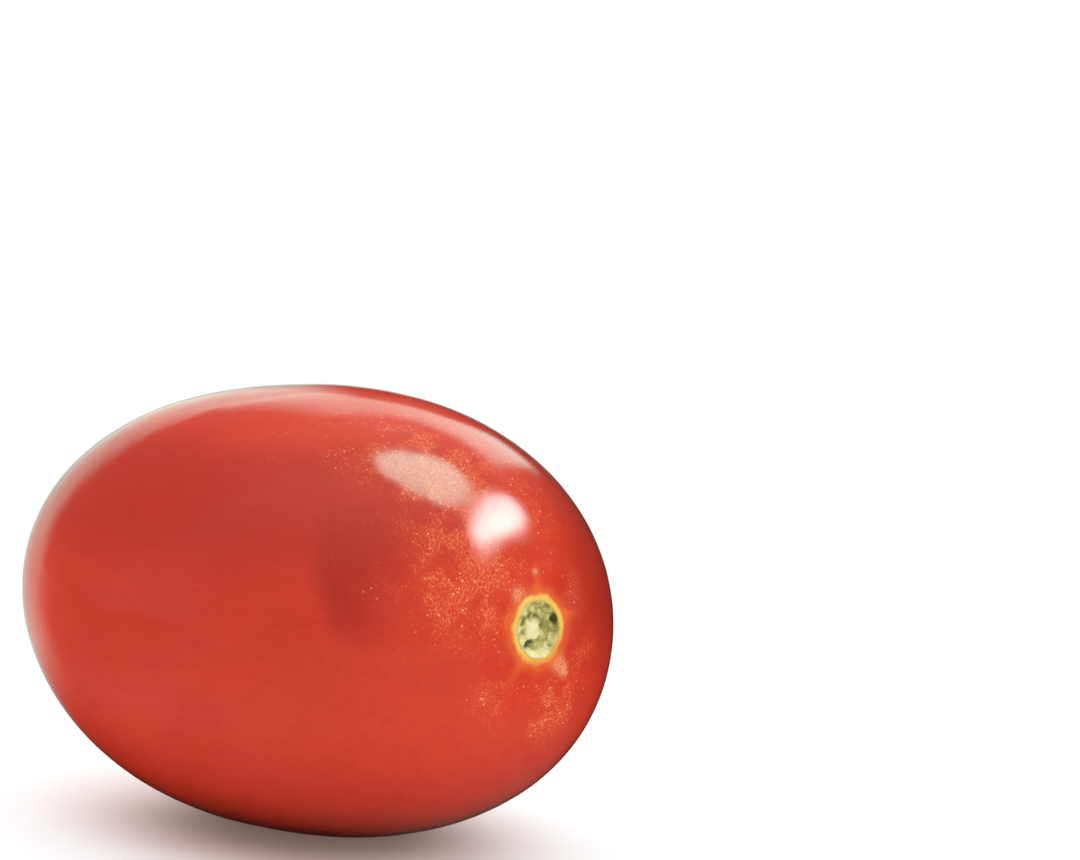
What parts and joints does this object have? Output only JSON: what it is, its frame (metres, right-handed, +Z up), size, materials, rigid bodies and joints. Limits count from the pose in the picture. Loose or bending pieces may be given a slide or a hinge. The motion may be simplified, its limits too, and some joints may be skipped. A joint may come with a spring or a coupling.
{
  "type": "plum tomato",
  "caption": "Ripe plum tomato lying on its side, egg-shaped, with the corky scar of its stem at one end and a small blossom point at the other.",
  "frame": {"origin": "middle of the bounding box's base, on the surface that the fruit lies on", "axes": "+X along the fruit, from its blossom tip to its stem scar; +Z up"},
  "size_m": [0.0762, 0.0522, 0.0525],
  "materials": {
    "skin": "glossy"
  },
  "bodies": {
    "root": {"tomato": "skin"}
  },
  "joints": []
}
